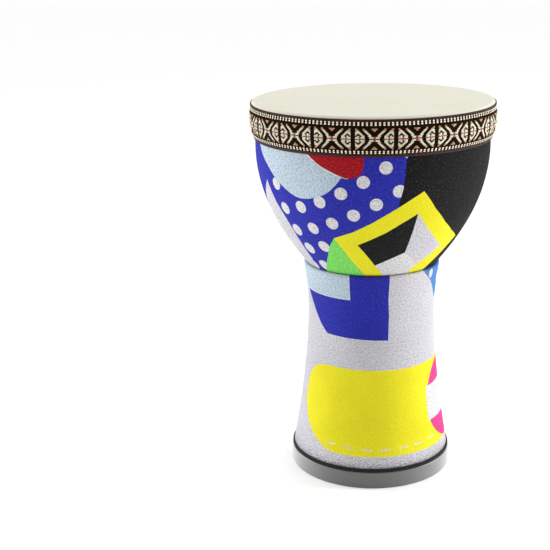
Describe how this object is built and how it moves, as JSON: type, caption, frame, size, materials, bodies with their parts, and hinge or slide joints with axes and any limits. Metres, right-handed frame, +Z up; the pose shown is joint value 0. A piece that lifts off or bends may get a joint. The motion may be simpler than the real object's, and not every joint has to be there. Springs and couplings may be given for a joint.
{
  "type": "goblet drum",
  "caption": "Upright goblet hand drum with a fixed cream head, woven rim ribbon, printed cloth over bowl and stem, and a black rubber foot ring.",
  "frame": {"origin": "centre of the foot ring's underside, on the drum's axis, at floor level", "axes": "+Z up along the drum's axis towards the playing head; -Y towards the side that carries the yellow square frame of the print; +X to that side's right"},
  "size_m": [0.214, 0.214, 0.3345],
  "materials": {
    "moulded_shell": "moulded, fine satin texture",
    "hoop_band": "plain bent ply, hidden under the skin",
    "skin": "smooth cream synthetic skin, faint sheen",
    "ribbon": "jacquard woven trim, raised cream threads on dark ground, maroon edges",
    "bowl_cloth": "plain-woven canvas with a flat multicolour geometric print, mostly blue and black",
    "stem_cloth": "plain-woven canvas with a flat multicolour geometric print on lilac grey",
    "foot_rubber": "satin moulded rubber"
  },
  "bodies": {
    "root": {"bowl_shell": "moulded_shell", "stem_shell": "moulded_shell", "head_hoop": "hoop_band", "drum_skin": "skin", "rim_ribbon": "ribbon", "bowl_cover": "bowl_cloth", "stem_cover": "stem_cloth", "foot_ring": "foot_rubber"}
  },
  "joints": []
}
